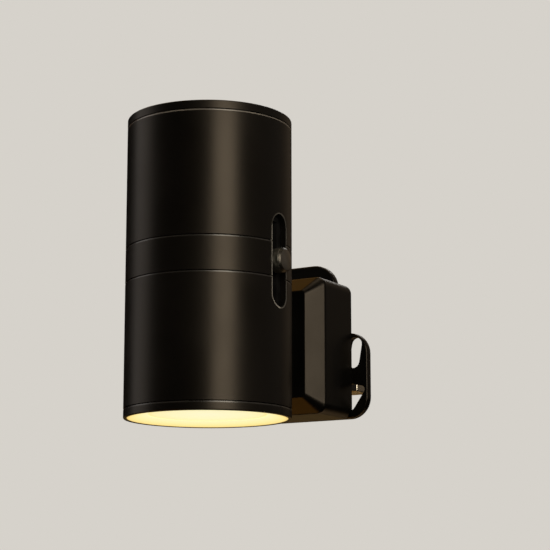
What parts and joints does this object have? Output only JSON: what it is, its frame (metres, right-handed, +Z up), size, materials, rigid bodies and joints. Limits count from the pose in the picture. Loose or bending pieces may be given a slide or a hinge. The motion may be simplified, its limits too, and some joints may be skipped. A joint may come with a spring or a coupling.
{
  "type": "plug-in wall night light",
  "caption": "Plug-in night light: a black up-and-down lamp tube on a bevelled three-pin plug housing, with a slide dimmer in a slot.",
  "frame": {"origin": "on the rear face of the plug base, midway between the power pins' line and the earth pin, which is the face that meets the socket", "axes": "+Y out of the rear face along the pins, into the wall; +Z up the wall; +X to the right seen from the wall side looking away from it"},
  "size_m": [0.0492, 0.0982, 0.0846],
  "materials": {
    "black_plastic": "moulded, fine satin texture",
    "black_tube_paint": "satin black",
    "plated_brass": "bright",
    "tag_brass": "stamped",
    "earth_pin_plastic": "moulded",
    "sleeve_plastic": "moulded",
    "screw_steel": "zinc plated",
    "clamp_steel": "zinc plated",
    "board_laminate": "solder mask",
    "ferrite": "sintered",
    "winding_tape": "film tape",
    "capacitor_sleeve": "shrunk sleeve",
    "chip_epoxy": "moulded epoxy",
    "resistor_coat": "lacquer",
    "cast_frame": "die cast",
    "liner_plastic": "moulded",
    "pot_steel": "stamped",
    "track_laminate": "phenolic board",
    "lead_copper": "tinned copper",
    "wiper_plastic": "moulded",
    "knob_metal": "turned, dark anodised",
    "lead_sleeve": "extruded",
    "shade_ring_plastic": "moulded, lit from behind",
    "lens_opal": "opal diffuser",
    "reflector_plastic": "moulded white",
    "led_board_mask": "white solder mask",
    "led_phosphor": "phosphor"
  },
  "bodies": {
    "lamp": {"plug_base": "black_plastic", "plug_cover": "black_plastic", "earth_pin": "earth_pin_plastic", "live_pin": "plated_brass", "neutral_pin": "plated_brass", "live_sleeve": "sleeve_plastic", "neutral_sleeve": "sleeve_plastic", "contact_tags": "tag_brass", "base_screws": "screw_steel", "driver_board": "board_laminate", "transformer_core": "ferrite", "transformer_winding": "winding_tape", "input_capacitor": "capacitor_sleeve", "output_capacitor": "capacitor_sleeve", "choke": "ferrite", "driver_chips": "chip_epoxy", "fuse_resistor": "resistor_coat", "neck": "black_plastic", "neck_screws": "screw_steel", "clamp_plate": "clamp_steel", "body_tube": "black_tube_paint", "upper_bezel": "black_tube_paint", "upper_shade_ring": "shade_ring_plastic", "upper_lens": "lens_opal", "upper_reflector": "reflector_plastic", "upper_led_board": "led_board_mask", "upper_leds": "led_phosphor", "upper_board_screws": "screw_steel", "lower_bezel": "black_tube_paint", "lower_shade_ring": "shade_ring_plastic", "lower_lens": "lens_opal", "lower_reflector": "reflector_plastic", "lower_led_board": "led_board_mask", "lower_leds": "led_phosphor", "lower_board_screws": "screw_steel", "inner_frame": "cast_frame", "dimmer_board": "board_laminate", "slot_liner": "liner_plastic", "pot_case": "pot_steel", "pot_track": "track_laminate", "pot_leads": "lead_copper", "supply_leads": "lead_sleeve", "upper_lamp_leads": "lead_sleeve", "lower_lamp_leads": "lead_sleeve"},
    "slider": {"slider_knob": "knob_metal", "wiper_carrier": "wiper_plastic"}
  },
  "joints": [
    {"name": "dimmer_slide", "type": "slide", "parent": "lamp", "child": "slider", "axis": [0, 0, 1], "range_m": [-0.0093, 0.0093]}
  ]
}
